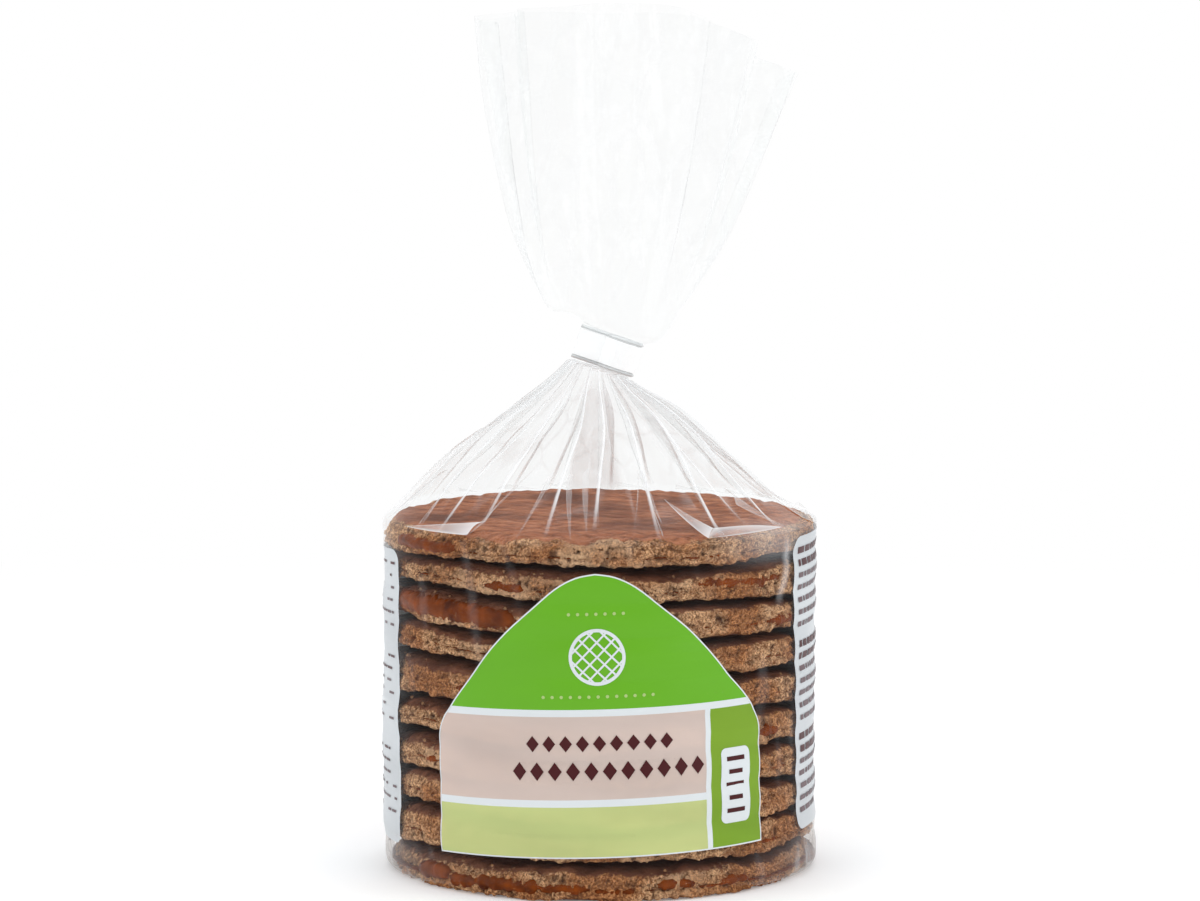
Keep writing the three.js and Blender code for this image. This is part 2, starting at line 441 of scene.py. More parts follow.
def unevenness_group():
    """Cloudy unevenness on Object coordinates, as grain, mottling or soft wrinkles according to its scale."""
    group = bpy.data.node_groups.new("unevenness", "ShaderNodeTree")
    sockets = group.interface.new_socket
    for name, value in (("Scale", 100), ("Detail", 4), ("Roughness", 0.6)):
        sockets(name, in_out="INPUT", socket_type="NodeSocketFloat").default_value = value
    sockets("Stretch", in_out="INPUT", socket_type="NodeSocketVector").default_value = (1, 1, 1)
    sockets("Height", in_out="OUTPUT", socket_type="NodeSocketFloat")
    given = group.nodes.new("NodeGroupInput")
    mapping = group.nodes.new("ShaderNodeMapping")
    texture = group.nodes.new("ShaderNodeTexNoise")
    feed(group, output(group, "TexCoord", "Object"), mapping.inputs["Vector"])
    feed(group, given.outputs["Stretch"], mapping.inputs["Scale"])
    feed(group, mapping.outputs[0], texture.inputs["Vector"])
    for name in ("Scale", "Detail", "Roughness"):
        feed(group, given.outputs[name], texture.inputs[name])
    feed(group, texture.outputs["Fac"], group.nodes.new("NodeGroupOutput").inputs["Height"])
    return group


unevenness = unevenness_group()


def uneven(tree, scale, detail=4, roughness=0.6, stretch=(1, 1, 1)):
    node = tree.nodes.new("ShaderNodeGroup")
    node.node_tree = unevenness
    for name, value in (("Scale", scale), ("Detail", detail), ("Roughness", roughness), ("Stretch", stretch)):
        node.inputs[name].default_value = value
    return node.outputs["Height"]


def mask(tree, name):
    node = tree.nodes.new("ShaderNodeAttribute")
    node.attribute_name = name
    return node.outputs["Fac"]


def bumped(tree, height, strength, distance):
    node = tree.nodes.new("ShaderNodeBump")
    node.inputs["Strength"].default_value = strength
    node.inputs["Distance"].default_value = distance
    feed(tree, height, node.inputs["Height"])
    return node.outputs["Normal"]


def iron_lines(tree, cell, width):
    """The baking iron's grooves, crossing in diamonds on a face, from 0 to 1, off Object coordinates."""
    place = tree.nodes.new("ShaderNodeSeparateXYZ")
    feed(tree, output(tree, "TexCoord", "Object"), place.inputs[0])
    lines = []
    for operation in ("ADD", "SUBTRACT"):
        slanted = math_node(tree, operation, place.outputs["X"], place.outputs["Y"])
        slanted = times(tree, slanted, sqrt(0.5))
        step = math_node(tree, "PINGPONG", math_node(tree, "ADD", slanted, 100 * cell), cell / 2)
        lines.append(math_node(tree, "SUBTRACT", 1, math_node(tree, "DIVIDE", step, width), clamp=True))
    return math_node(tree, "MAXIMUM", *lines)


def crumb_cells(tree, scale):
    node = tree.nodes.new("ShaderNodeTexVoronoi")
    node.inputs["Scale"].default_value = scale
    feed(tree, output(tree, "TexCoord", "Object"), node.inputs["Vector"])
    return node.outputs["Distance"]


def wafer_material():
    material = plain_material("baked_wafer", (0.3, 0.13, 0.06), 0.75, Specular_IOR_Level=0.2)
    tree = material.node_tree
    fine = uneven(tree, 1900, 4, 0.8)
    medium = uneven(tree, 620, 5, 0.7)
    broad = uneven(tree, 70, 3, 0.5)
    drawn = uneven(tree, 330, 4, 0.7, (0.65, 1.15, 1.15))
    face, cut, hollow_shade = (mask(tree, name) for name in ("face", "cut", "hollow_shade"))
    # The baked brown is darkened here as painted shade, like the shade in the gaps between the waffles, and
    # the top waffle's open face gets a lighter copy of it, painted light from above.
    baked_with_painted_light = shaded(tree, fine, 0.35, 0.65, (0.085, 0.027, 0.012), (0.25, 0.092, 0.045))
    baked_with_painted_light = shaded(tree, drawn, 0.42, 0.64, baked_with_painted_light, (0.31, 0.125, 0.066))
    baked_with_painted_light = shaded(tree, broad, 0.42, 0.62, baked_with_painted_light, (0.16, 0.058, 0.03))
    lit_open_face = shaded(tree, fine, 0.36, 0.64, (0.185, 0.047, 0.019), (0.55, 0.185, 0.078))
    lit_open_face = shaded(tree, drawn, 0.4, 0.62, lit_open_face, (0.54, 0.215, 0.103))
    lit_open_face = shaded(tree, uneven(tree, 42, 3, 0.55), 0.5, 0.68, lit_open_face, (0.16, 0.05, 0.024))
    baked_with_painted_light = mixed(tree, face, baked_with_painted_light, lit_open_face)
    worn = times(tree, iron_lines(tree, 5.2 * mm, 1.1 * mm), spread(tree, drawn, 0.7, 0.42))
    groove = mixed(tree, face, (0.085, 0.026, 0.013), (0.13, 0.042, 0.019))
    baked_with_painted_light = mixed(tree, times(tree, worn, 0.6), baked_with_painted_light, groove)
    crumb = shaded(tree, fine, 0.42, 0.58, (0.27, 0.11, 0.043), (0.92, 0.565, 0.305))
    toasted = shaded(tree, fine, 0.42, 0.6, (0.18, 0.055, 0.018), (0.72, 0.33, 0.13))
    crumb = shaded(tree, broad, 0.44, 0.56, crumb, toasted)
    crumb = shaded(tree, medium, 0.5, 0.36, crumb, (0.2, 0.072, 0.026))
    floury = times(tree, spread(tree, uneven(tree, 55, 3, 0.6), 0.56, 0.68), 0.6)
    crumb = mixed(tree, floury, crumb, (0.72, 0.47, 0.28))
    # The gaps between the crumbs are darkened: painted shade.
    pore_shade = math_node(tree, "ADD", crumb_cells(tree, 1250), times(tree, medium, 0.5))
    crumb = shaded(tree, pore_shade, 0.88, 1.2, crumb, (0.11, 0.042, 0.018))
    ragged = times(tree, math_node(tree, "SUBTRACT", medium, 0.5), 2.2)
    colour = shaded(tree, math_node(tree, "ADD", cut, ragged), 0.3, 0.6, baked_with_painted_light, crumb)
    # The hollows of the cut edge are darkened: painted shade.
    colour = shaded(tree, hollow_shade, 0.2, 0.8, colour, (0.06, 0.023, 0.01))
    grainy = math_node(tree, "ADD", fine, times(tree, medium, 1.5))
    grainy = math_node(tree, "SUBTRACT", grainy, times(tree, worn, 1.1))
    return give(material, Base_Color=colour, Normal=bumped(tree, grainy, 0.8, 0.45 * mm))


wafer = wafer_material()
for number in range(waffle_count):
    in_bag(f"waffle_{number + 1:02d}", waffle_mesh(number), wafer)


# ---- The syrup ----
# Caramel syrup joins the two wafers of each waffle. Pressed out by the stack, it swells over the cut edge in
# glossy amber patches, which are broadest on the third waffle and the lowest one.

syrup_spots = {
    # waffle: middle along the rim in mm from the front, reach, strength, level and half height
    9: [(-46.5, 13, 1.0, 2.9, 2.0), (88, 12, 0.7, 2.2, 1.5)],
    8: [(38, 17, 0.5, 3.5, 2.4), (-118, 16, 0.9, 2.4, 1.6)],
    7: [(-43, 27, 1.0, 3.2, 2.4), (-70, 12, 0.9, 3.0, 1.9), (140, 14, 0.9, 2.5, 1.7)],
    5: [(100, 15, 0.9, 2.4, 1.7), (-135, 10, 0.8, 2.3, 1.5)],
    3: [(-98, 12, 0.95, 2.4, 1.7)],
    2: [(150, 18, 0.9, 2.4, 1.7)],
    0: [
        (-44, 6, 0.8, 3.4, 1.9), (-22, 9, 0.72, 2.8, 1.9), (-8, 6, 0.62, 2.4, 1.7), (3, 5, 0.5, 2.2, 1.5),
        (18, 5, 0.6, 3.2, 1.7), (33, 5, 0.5, 3.0, 1.5), (84, 14, 0.9, 2.2, 1.5),
    ],
}


syrup_rows = 12


def syrup_amount(number, angle):
    """How far the syrup has swelled here, 0 to 1, then its middle's height in the waffle and half its own."""
    way = outward(angle)
    amount = 0.75 * rise(noise.noise(way * 3.1 + Vector((0, 0, number * 7.7))), 0.22, 0.55)
    middle, half_height = 2.45, 1.75
    arc = bag_radius * 1000 * ((angle + pi / 2 + pi) % turn - pi)
    for centre, reach, strength, level, half in syrup_spots.get(number, []):
        away = abs((arc - centre + 157) % 314 - 157) / reach
        part = strength * (1 - rise(away, 0.7, 1.1))
        if part > amount:
            amount = part
            middle, half_height = level, half
    edge = 0.35 * noise.noise(way * 21 + Vector((0, 0, number * 3.3))) + 0.3 * noise.noise(way * 55)
    return max(0, amount + edge * (0.25 + 2.4 * amount * (1 - amount))), middle, half_height


def syrup_mesh(number):
    @functools.cache
    def swelling(angle):
        return *syrup_amount(number, angle), gap_height(number, angle), gap_height(number + 1, angle)

    def syrup_point(angle, row):
        amount, middle, half_height, low, high = swelling(angle)
        bend = pi * row / syrup_rows
        reach = mix(0.3, half_height, min(1, amount)) * mm
        bulge = (mix(-0.65, 0.1, rise(amount, 0.1, 0.75)) + 0.4 * rise(amount, 0.7, 0.95)) * mm
        way = outward(angle)
        rough = 0.16 * mm * cloud(angle * 30, row * 0.4, number)
        out = rim_radius(number, angle) * (bag_radius - wafer_inset) / bag_radius
        out += mix(-2.2 * mm, bulge + rough, sin(bend) ** 0.6 if 0 < row < syrup_rows else 0)
        level = middle * mm - cos(bend) * reach * (1 + 0.5 * rough / mm)
        shift = 0.45 * mm * cloud(angle * 7, 4.4, number * 2.0)
        ragged = cloud(angle * 38, 9 if row > syrup_rows / 2 else 2, number) * abs(cos(bend)) ** 3
        shift += 0.9 * mm * ragged * min(1, amount)
        height = mix(low, high, (level + shift) / waffle_pitch)
        out = min(out, film_radius(angle, height) - syrup_clearance)
        return way * out + Vector((0, 0, height)), (amount,)

    return turned_mesh(f"syrup_{number + 1:02d}", 720, syrup_rows, syrup_point, ("swell",))


def syrup_material():
    material = plain_material("caramel_syrup", (0.22, 0.06, 0.015), 0.3, Specular_IOR_Level=0.1)
    tree = material.node_tree
    cloudy = uneven(tree, 260, 4, 0.6)
    colour = shaded(tree, cloudy, 0.3, 0.7, (0.062, 0.0105, 0.001), (0.265, 0.054, 0.003))
    grain = uneven(tree, 1400, 3, 0.7)
    # Light amber specks on the fine grain are painted glints.
    colour = shaded(tree, grain, 0.64, 0.74, colour, (0.42, 0.2, 0.08))
    rough = spread(tree, grain, -0.2, 1.6)
    height = math_node(tree, "ADD", cloudy, times(tree, grain, 0.25))
    return give(material, Base_Color=colour, Roughness=rough, Normal=bumped(tree, height, 0.4, 0.5 * mm))


syrup = syrup_material()
for number in range(waffle_count):
    in_bag(f"syrup_{number + 1:02d}", syrup_mesh(number), syrup)


# ---- The crumbs ----
# Crumbs broken from the cut edges lie in the gaps between the rims.
# They are all one mesh.

crumb_count = 420
bm = bmesh.new()
for number in range(crumb_count):
    angle = turn * draw(number + 1000)
    gap = 1 + int((waffle_count - 1) * draw(number + 1500))
    size = mix(0.16, 0.5, draw(number + 2000) ** 2.2) * mm
    inward = mix(0.9, 2.6, draw(number + 2500)) * mm
    radius = rim_radius(gap, angle) - inward - size
    height = gap_height(gap, angle) - mix(3.6, 2.7, min(1, inward / (2.4 * mm))) * mm + size + 0.3 * mm
    middle = on_circle(angle, radius, height)
    made = bmesh.ops.create_icosphere(bm, subdivisions=1, radius=size)
    for vert in made["verts"]:
        vert.co *= 1 + 0.9 * noise.noise(vert.co * 2300 + Vector((number * 3.7, 0, 0)))
    bmesh.ops.translate(bm, verts=made["verts"], vec=middle)


def crumb_material():
    material = plain_material("crumb", (0.45, 0.24, 0.11), 0.85)
    tree = material.node_tree
    grain = uneven(tree, 900, 3, 0.6)
    colour = shaded(tree, grain, 0.3, 0.7, (0.14, 0.058, 0.024), (0.42, 0.22, 0.1))
    return give(material, Base_Color=colour, Normal=bumped(tree, grain, 0.5, 0.2 * mm))


in_bag("loose_crumbs", finished_mesh("loose_crumbs", bm, smooth=False), crumb_material())


# ---- The film bag: tube and base ----
# A clear printed film tube, drawn tight round the stack. It sinks a little between the rims, and its
# bottom is folded flat under the lowest waffle.

def foot_radius(angle):
    return mix(3, 6.5, sin(angle) ** 2) * mm


def tube_point(angle, height):
    foot = foot_radius(angle)
    radius = film_radius(angle, height)
    if height < foot:
        radius -= foot * (1 - sqrt(max(0, 1 - (1 - height / foot) ** 2)))
    return on_circle(angle, radius, height)


def film_material(name, clearness, shine, haze_least, wrinkle_size, wrinkle_strength, stretch=(1, 1, 1)):
    # The milky layer glows a little: painted light, standing in for the light that the film passes on from
    # behind it.
    material = plain_material(name, (0.68, 0.69, 0.7), 0.3, Emission_Color=(1, 1, 1), Emission_Strength=0.26)
    tree, shader = opened(material)
    clear = tree.nodes.new("ShaderNodeBsdfTransparent")
    feed(tree, (clearness, clearness + 0.003, clearness + 0.002), clear.inputs["Color"])
    gloss = tree.nodes.new("ShaderNodeBsdfGlossy")
    feed(tree, 0.12, gloss.inputs["Roughness"])
    feed(tree, (1, 1, 1), gloss.inputs["Color"])
    weight = tree.nodes.new("ShaderNodeLayerWeight")
    feed(tree, 0.5, weight.inputs["Blend"])
    facing = math_node(tree, "POWER", weight.outputs["Facing"], 6)
    reflect = math_node(tree, "ADD", times(tree, facing, 0.7), shine, clamp=True)
    sheet = mixed_shader(tree, reflect, clear.outputs[0], gloss.outputs[0])
    # The milky layer lies where the mesh asks for it: where the film is milky, and along folds and creases as
    # painted highlights.
    milk_and_highlight_share = times(tree, mask(tree, "milk_and_fold_highlight"), 0.85)
    milk_and_highlight_share = math_node(tree, "ADD", milk_and_highlight_share, haze_least, clamp=True)
    milk_and_highlight_shader = mixed_shader(tree, milk_and_highlight_share, sheet, shader.outputs[0])
    feed(tree, milk_and_highlight_shader, tree.nodes["Material Output"].inputs["Surface"])
    wrinkle = uneven(tree, wrinkle_size, 5, 0.6, stretch)
    normal = bumped(tree, wrinkle, wrinkle_strength, 1.2 * mm)
    for node in (gloss, shader):
        feed(tree, normal, node.inputs["Normal"])
    return material


def with_painted_foot_shade(material):
    """The same film, darkened to a brownish grey and less milky where its mesh carries painted shade."""
    tree, shader = opened(material)
    painted_foot_shade = mask(tree, "painted_foot_shade")
    clear = tree.nodes["Transparent BSDF"]
    for socket, grey in (
        (shader.inputs["Base Color"], (0.3, 0.25, 0.22)),
        (shader.inputs["Emission Color"], (0.08, 0.08, 0.08)),
        (clear.inputs["Color"], (0.66, 0.61, 0.57)),
    ):
        feed(tree, mixed(tree, painted_foot_shade, tuple(socket.default_value)[:3], grey), socket)
    return material


film = with_painted_foot_shade(film_material("clear_film", 0.985, 0.005, 0.002, 90, 0.35))
stack_height = waffle_count * waffle_pitch


def rim_leave(angle):
    """Height at which the film leaves the top waffle's rim."""
    return stack_height - 1.6 * mm + top_slope * sin(angle)


base_rows = 20
foot_rows = 20
wall_rows = 130


def tube_sheet(angle, row):
    leave = rim_leave(angle)
    if row < base_rows:
        radius = (bag_radius - foot_radius(angle)) * row / base_rows
        return on_circle(angle, radius, 0.05 * mm), (0, 0)
    if row < base_rows + foot_rows:
        bend = (row - base_rows) / foot_rows * pi / 2
        height = foot_radius(angle) * (1 - cos(bend))
    else:
        foot = foot_radius(angle)
        height = mix(foot, leave, (row - base_rows - foot_rows) / wall_rows)
    # The film creases on both flanks where it turns under the lowest waffle: its streaks are whitened as
    # painted highlights, and it is darkened there to a brownish grey as painted shade.
    spare = cos(angle) ** 6 * (1 - rise(height, 6 * mm, 11 * mm))
    streak = cloud(cos(angle) * 26, sin(angle) * 26, height * 110 + angle * 4)
    tube_milk_and_highlight = spare * (0.15 + 0.4 * rise(streak, 0.15, 0.5))
    grain = min(1, max(0, 0.75 + 0.9 * cloud(cos(angle) * 90, sin(angle) * 90, height * 22)))
    painted_foot_shade = cos(angle) ** 16 * (1 - rise(height, 8 * mm, 13 * mm)) * grain
    tube_milk_and_highlight += 0.2 * painted_foot_shade
    soft = cloud(cos(angle) * 11 + height * 40, sin(angle) * 11, height * 38)
    tube_milk_and_highlight += 0.045 * rise(soft, 0.3, 0.6) * rise(height, 8 * mm, 20 * mm)
    # One upright crease runs up the right of the front, whitened along it as a painted highlight, and the
    # film is whitened where it nears the top there.
    bent = 325 + 2.5 * sin(height * 190)
    between = rise(height, 62 * mm, 68 * mm) * (1 - rise(height, 74 * mm, 80 * mm))
    tube_milk_and_highlight += 0.3 * between * lobe(angle, bent, 2.6)
    tube_milk_and_highlight += 0.24 * lobe(angle, full_side, 26) * rise(height, 71 * mm, 78 * mm)
    return tube_point(angle, max(height, 0.05 * mm)), (tube_milk_and_highlight, painted_foot_shade)


rows = base_rows + foot_rows + wall_rows
in_bag("film_tube", turned_mesh("film_tube", 420, rows, tube_sheet, ("milk_and_fold_highlight", "painted_foot_shade")), film)


# ---- The seams of the film ----
# The tube is closed by a lap down the middle of the back, and its foot by a flat crimped seal that is folded
# over under the lowest waffle. Both are two films thick and a little milky.

def seam_sheet(name, steps, point):
    bm = bmesh.new()
    bmesh.ops.create_grid(bm, x_segments=steps[0], y_segments=steps[1], size=0.5)
    layer = bm.verts.layers.float.new("milk_and_fold_highlight")
    for vert in bm.verts:
        vert.co, vert[layer] = point(vert.co.x + 0.5, vert.co.y + 0.5)
    in_bag(name, finished_mesh(name, bm), film)


def back_lap(across, up):
    angle = pi / 2 + (across - 0.5) * 11 * mm / bag_radius
    height = mix(4 * mm, rim_leave(angle), up)
    edge = rise(abs(across - 0.5), 0.46, 0.5)
    return tube_point(angle, height) + outward(angle) * 0.12 * mm, 0.05 + 0.25 * edge


def foot_seal(across, deep):
    x = (across - 0.5) * 88 * mm
    y = mix(-3, 6, deep) * mm
    crimp = 0.5 + 0.5 * cos(turn * deep * 7)
    return Vector((x, -y, 0.03 * mm)), 0.05 + 0.18 * crimp


seam_sheet("film_back_lap", (16, 120), back_lap)
seam_sheet("film_foot_seal", (60, 56), foot_seal)


# ---- The film bag: pleated crown ----
# Above the top waffle the tube is gathered to the neck. The film that is left over lies in soft pleats, which
# start as darts at the rim and crowd together under the clip.

neck_height = 117.9 * mm
neck_shift = 4.6 * mm
neck_lean = radians(18.7)
clip_width = 8 * mm
crown_sag = 6 * mm
throat_width, throat_depth = 3.3 * mm, 2.8 * mm  # half the film's width and depth under the band
pleat_count = 24


def neck_point(across, deep, along):
    return Vector((
        neck_shift + across * cos(neck_lean) + along * sin(neck_lean),
        deep,
        neck_height - across * sin(neck_lean) + along * cos(neck_lean),
    ))


def bunch_point(angle):
    across = 7.2 * mm * cos(angle) - 3.6 * mm
    below = clip_width / 2 + mix(0.8, 2.0, rise(cos(angle), -0.2, 1)) * mm
    return neck_point(across, 5.6 * mm * sin(angle), -below)


def throat_point(angle, climb):
    """The film where the band squeezes it, at a height along the neck from the middle of the band."""
    flute = 1 + 0.08 * cos(12 * angle)
    return neck_point(throat_width * flute * cos(angle), throat_depth * flute * sin(angle), climb)


def crown_base(angle, share):
    start = tube_point(angle, rim_leave(angle))
    rounded = rise(share, 0, 0.05)
    start = start * (1 - 0.012 * rounded)
    start.z += 0.9 * mm * rounded
    sag = crown_sag * sin(pi * share) * (share - 0.55) * cos(angle)
    slope = atan2(neck_height - stack_height, bag_radius)
    lift = Vector((cos(angle) * sin(slope), sin(angle) * sin(slope), cos(slope)))
    place = start.lerp(bunch_point(angle), min(1, share / 0.95)) + lift * sag
    # The last of the crown turns in under the band.
    return place.lerp(throat_point(angle, -clip_width / 2 - 0.3 * mm), rise(share, 0.95, 1)), lift


def crumple(across, along, size, seed=0):
    """Sharp-edged dents, as in crushed film: 0 in the middle of a dent and about 1 on the creases between."""
    return noise.voronoi(Vector((across / size, along / size, seed)))[0][0]


def crease_line(across, along, size, seed=0):
    """1 on the sharp creases between the dents of `crumple`, falling quickly to 0 beside them."""
    near = noise.voronoi(Vector((across / size, along / size, seed)))[0]
    return 1 - rise(near[1] - near[0], 0, 0.14)


pleats = []
for number in range(pleat_count):
    pleats.append({
        "angle": turn * (number + 0.55 * (draw(number + 500) - 0.5)) / pleat_count,
        "size": mix(0.35, 1.0, draw(number + 530)),
        "start": mix(0.0, 0.1, draw(number + 560) ** 1.5),
        "way": 1 if draw(number + 590) > 0.45 else -1,
        "lean": radians(mix(14, 40, draw(number + 620))),
        "drift": mix(-0.5, 0.5, draw(number + 650)),
    })


crown_rows = 70
pleat_steps = 36
fold_from, fold_to = 0.25, 0.75  # the share of a pleat's own width that is its fold
roll = 0.02  # radians across a fold


def crown_sheet(around, row):
    share = row / crown_rows
    sector = round(around / turn * pleat_count * pleat_steps) / pleat_steps
    number = int(sector) % pleat_count
    local = sector - int(sector)
    pleat = pleats[number]
    before, after = pleats[number - 1], pleats[(number + 1) % pleat_count]
    left = (pleat["angle"] + before["angle"] - (turn if number == 0 else 0)) / 2
    right = (pleat["angle"] + after["angle"] + (turn if number == pleat_count - 1 else 0)) / 2
    middle = pleat["angle"] + 0.015 * pleat["drift"] * sin(pi * share)
    fin = 0.0
    if local < fold_from:
        angle = mix(left, middle - roll, local / fold_from)
    elif local > fold_to:
        angle = mix(middle + roll, right, (local - fold_to) / (1 - fold_to))
    else:
        bend = pi * (local - fold_from) / (fold_to - fold_from)
        angle = middle - roll * cos(bend)
        fin = sin(bend)
    place, lift = crown_base(angle, share)
    grow = min(1, max(0, (share - pleat["start"]) / 0.75))
    width = 5.0 * mm * pleat["size"] * grow * (1 - 0.75 * rise(share, 0.5, 0.92))
    width *= 1 - rise(share, 0.94, 1)
    lean = mix(pleat["lean"], radians(68), rise(share, 0.5, 1))
    tangent = Vector((-sin(middle), cos(middle), 0)) * pleat["way"]
    place += (tangent * cos(lean) + lift * sin(lean)) * width * fin
    # Fine creases run with the pleats.
    place += lift * 0.35 * mm * cloud(angle * 9, share * 2.2, 7) * sin(pi * share)
    place += lift * 0.5 * mm * cloud(angle * 3, share * 5, 17) * sin(pi * share)
    reach = bag_radius * (angle - pi)
    upward = share * 34 * mm
    crushed = 0.8 * crumple(reach, upward, 9 * mm) + 0.35 * crumple(reach, upward, 4 * mm, 4)
    place += lift * crushed * mm * rise(share, 0.05, 0.4) * (1 - rise(share, 0.4, 0.85))
    # Along the tip of each pleat's fold the film is whitened: a painted highlight, as a tight fold catches
    # the light all along it.
    milk_and_fold_highlight = rise(fin, 0.8, 1.0) * min(1, width / (0.9 * mm)) * 0.8
    cloudy = cloud(cos(angle) * 6, sin(angle) * 6, share * 3 + 50)
    milk_and_fold_highlight += rise(share, 0.25, 0.95) * (0.05 + 0.16 * rise(cloudy, -0.1, 0.45))
    milk_and_fold_highlight += 0.35 * rise(share, 0.9, 0.98)
    milk_and_fold_highlight += 0.24 * lobe(angle, full_side, 26) * (1 - rise(share, 0.02, 0.14))
    # The lap of the tube runs on up the back, and sharp fine creases cross the crown, each whitened along it
    # as a painted highlight.
    lap = rise(degrees(angle), 82, 86) * (1 - rise(degrees(angle), 99, 100.5))
    milk_and_fold_highlight += 0.42 * lap * (1 - rise(share, 0.7, 0.95))
    sharp = 0.2 * crease_line(reach, upward, 9 * mm)
    milk_and_fold_highlight += sharp * rise(share, 0.06, 0.3) * rise(cloudy, -0.5, 0.2)
    return place, (milk_and_fold_highlight,)


crown_mesh = turned_mesh("film_crown", pleat_count * pleat_steps, crown_rows, crown_sheet, ("milk_and_fold_highlight",))
creased_film = film_material("creased_film", 0.968, 0.008, 0.003, 120, 0.3)
in_bag("film_crown", crown_mesh, creased_film)


# ---- The tucks ----
# Where a pleat starts at the rim the spare film is tucked flat into a pointed flap, which lies on the
# crown and catches the light.

tucks = [
    # angle from the front in degrees and share of the way up, for the three corners, then how milky it is,
    # with its edges whitened more as a painted highlight
    ((-62, 0.015), (-36, 0.02), (-33, 0.09), 0.85),
    ((-36, 0.02), (-33, 0.09), (-26, 0.36), 0.4),
    ((-22, 0.01), (-19, 0.3), (-17, 0.34), 0.4),
    ((-7.5, 0.02), (-12, 0.32), (-10, 0.36), 0.4),
    ((-3.5, 0.05), (-6.5, 0.34), (-4, 0.4), 0.35),
    ((8, 0.02), (14, 0.30), (15.5, 0.40), 0.3),
    ((18, 0.1), (15.5, 0.38), (18, 0.42), 0.6),
    ((22, 0.25), (29, 0.02), (33, 0.075), 0.8),
    ((29, 0.02), (33, 0.075), (58, 0.03), 0.75),
    ((60, 0.02), (50, 0.2), (52, 0.3), 0.4),
    ((-78, 0.01), (-66, 0.2), (-68, 0.3), 0.5),
]
for number in range(16):
    middle = 85 + 190 * (number + 0.6 * draw(number + 700)) / 16
    reach = mix(2, 9, draw(number + 720))
    low_corner = (middle - reach, 0.015)
    side_corner = (middle + reach * draw(number + 740), 0.02 + 0.03 * draw(number + 750))
    top_corner = (middle + 3 * draw(number + 760), mix(0.03, 0.06, draw(number + 780)))
    tucks.append((low_corner, side_corner, top_corner, mix(0.1, 0.25, draw(number + 790))))

tuck_steps = 14
bm = bmesh.new()
tuck_milk_and_highlight = bm.verts.layers.float.new("milk_and_fold_highlight")
for corners in tucks:
    strength = corners[3]
    made = bmesh.ops.create_grid(bm, x_segments=tuck_steps, y_segments=tuck_steps, size=0.5)["verts"]
    for vert in made:
        first, second = vert.co.x + 0.5, vert.co.y + 0.5
        weights = (1 - first, first * (1 - second), first * second)
        bearing, share = (sum(corner[k] * weight for corner, weight in zip(corners, weights)) for k in (0, 1))
        angle = radians(bearing - 90) % turn
        place, lift = crown_base(angle, share)
        ridge = sin(pi * second) * first
        vert.co = place + lift * (0.4 + 0.9 * ridge) * mm
        # The flap is milky, and whitened most towards its edges: a painted highlight along the folds.
        vert[tuck_milk_and_highlight] = strength * (0.25 + 0.75 * max(abs(2 * second - 1), first) ** 3)
in_bag("film_tucks", welded_mesh("film_tucks", bm), creased_film)


# ---- The film bag: loose end above the clip ----
# The mouth of the bag spreads into a flat fan above the neck, in long soft folds, with its right corner
# fallen.

fan_height = 73 * mm
fan_half_width = 35 * mm
fan_half_depth = 11 * mm
fan_folds = 12


def fold(angle):
    place = angle / turn * fan_folds
    number = floor(place)
    zigzag = 1 - 4 * abs(place - number - 0.5)
    return zigzag * (0.55 + 0.45 * draw(number + 80))


fan_rows = 130
throat_part = 0.1  # of the rows lie under the clip's band


def fan_sheet(angle, row):
    along = row / fan_rows
    if along < throat_part:
        climb = mix(-clip_width / 2 - 0.4 * mm, clip_width / 2, along / throat_part)
        return throat_point(angle, climb), (0.3,)
    share = ((along - throat_part) / 0.9) ** 1.4
    opening = share ** (0.4 + 0.1 * cos(angle))
    width = mix(throat_width, fan_half_width, opening)
    depth = mix(throat_depth, fan_half_depth, opening)
    small = 0.25 * cloud(cos(angle) * 4, sin(angle) * 4, share * 1.2)
    folded = 0.11 * rise(share, 0, 0.4) * fold(angle)
    folded += small * rise(share, 0, 0.3) * 0.35
    lean = neck_lean * (1 - rise(share, 0, 0.45))
    across = width * (1 + folded) * cos(angle)
    deep = depth * (1 + 1.35 * folded) * sin(angle)
    side = 1 if sin(angle) > 0 else -1
    deep += 1.2 * mm * cloud(across * 60, share * 3, 6 - 3 * side) * rise(share, 0.1, 0.4)
    upright = share * fan_height
    broad_dents = (across * 1.7, upright * 0.8, 17 * mm, side * 3)
    crushed = 1.9 * crumple(*broad_dents)
    small_dents = 0.9 * crumple(across * 1.8, upright, 8 * mm, side * 7)
    crushed += small_dents + 0.35 * crumple(across * 1.5, upright, 3.6 * mm, side * 11)
    deep += side * crushed * mm * rise(share, 0.03, 0.3) * rise(abs(sin(angle)), 0.05, 0.4)
    drop = 14 * mm * max(0, cos(angle)) ** 2.5
    crest = 2.5 * mm * abs(sin(angle)) + mm * uneven_wave(angle, 9) - drop
    start = neck_point(0, 0, clip_width / 2)
    x = start.x + 2.6 * mm * share + across * cos(lean)
    z = start.z + fan_height * share + crest * share * share
    z -= across * sin(lean) * (1 - rise(share, 0, 0.1))
    return Vector((x, deep, z)), (0.14 * crease_line(*broad_dents) * rise(share, 0.03, 0.2),)


loose_film = film_material("loose_film", 0.988, 0.02, 0.01, 70, 1.0, (1, 1, 0.3))
in_bag("film_fan", turned_mesh("film_fan", 600, fan_rows, fan_sheet, ("milk_and_fold_highlight",)), loose_film)


# ---- The front label ----
# Printed on the film in flat inks and a little askew: a green gable over a blush band, a pale green band
# and a green tab, with white lines between and a fine white edge round it all. The two bands let the
# waffles show.

label_middle = 0.6
label_foot = 10.2
label_tilt = radians(1.6)
print_radius = 50.2
across_axis, up_axis = (1, 0, 0), (0, 1, 0)
edge_width = 0.32
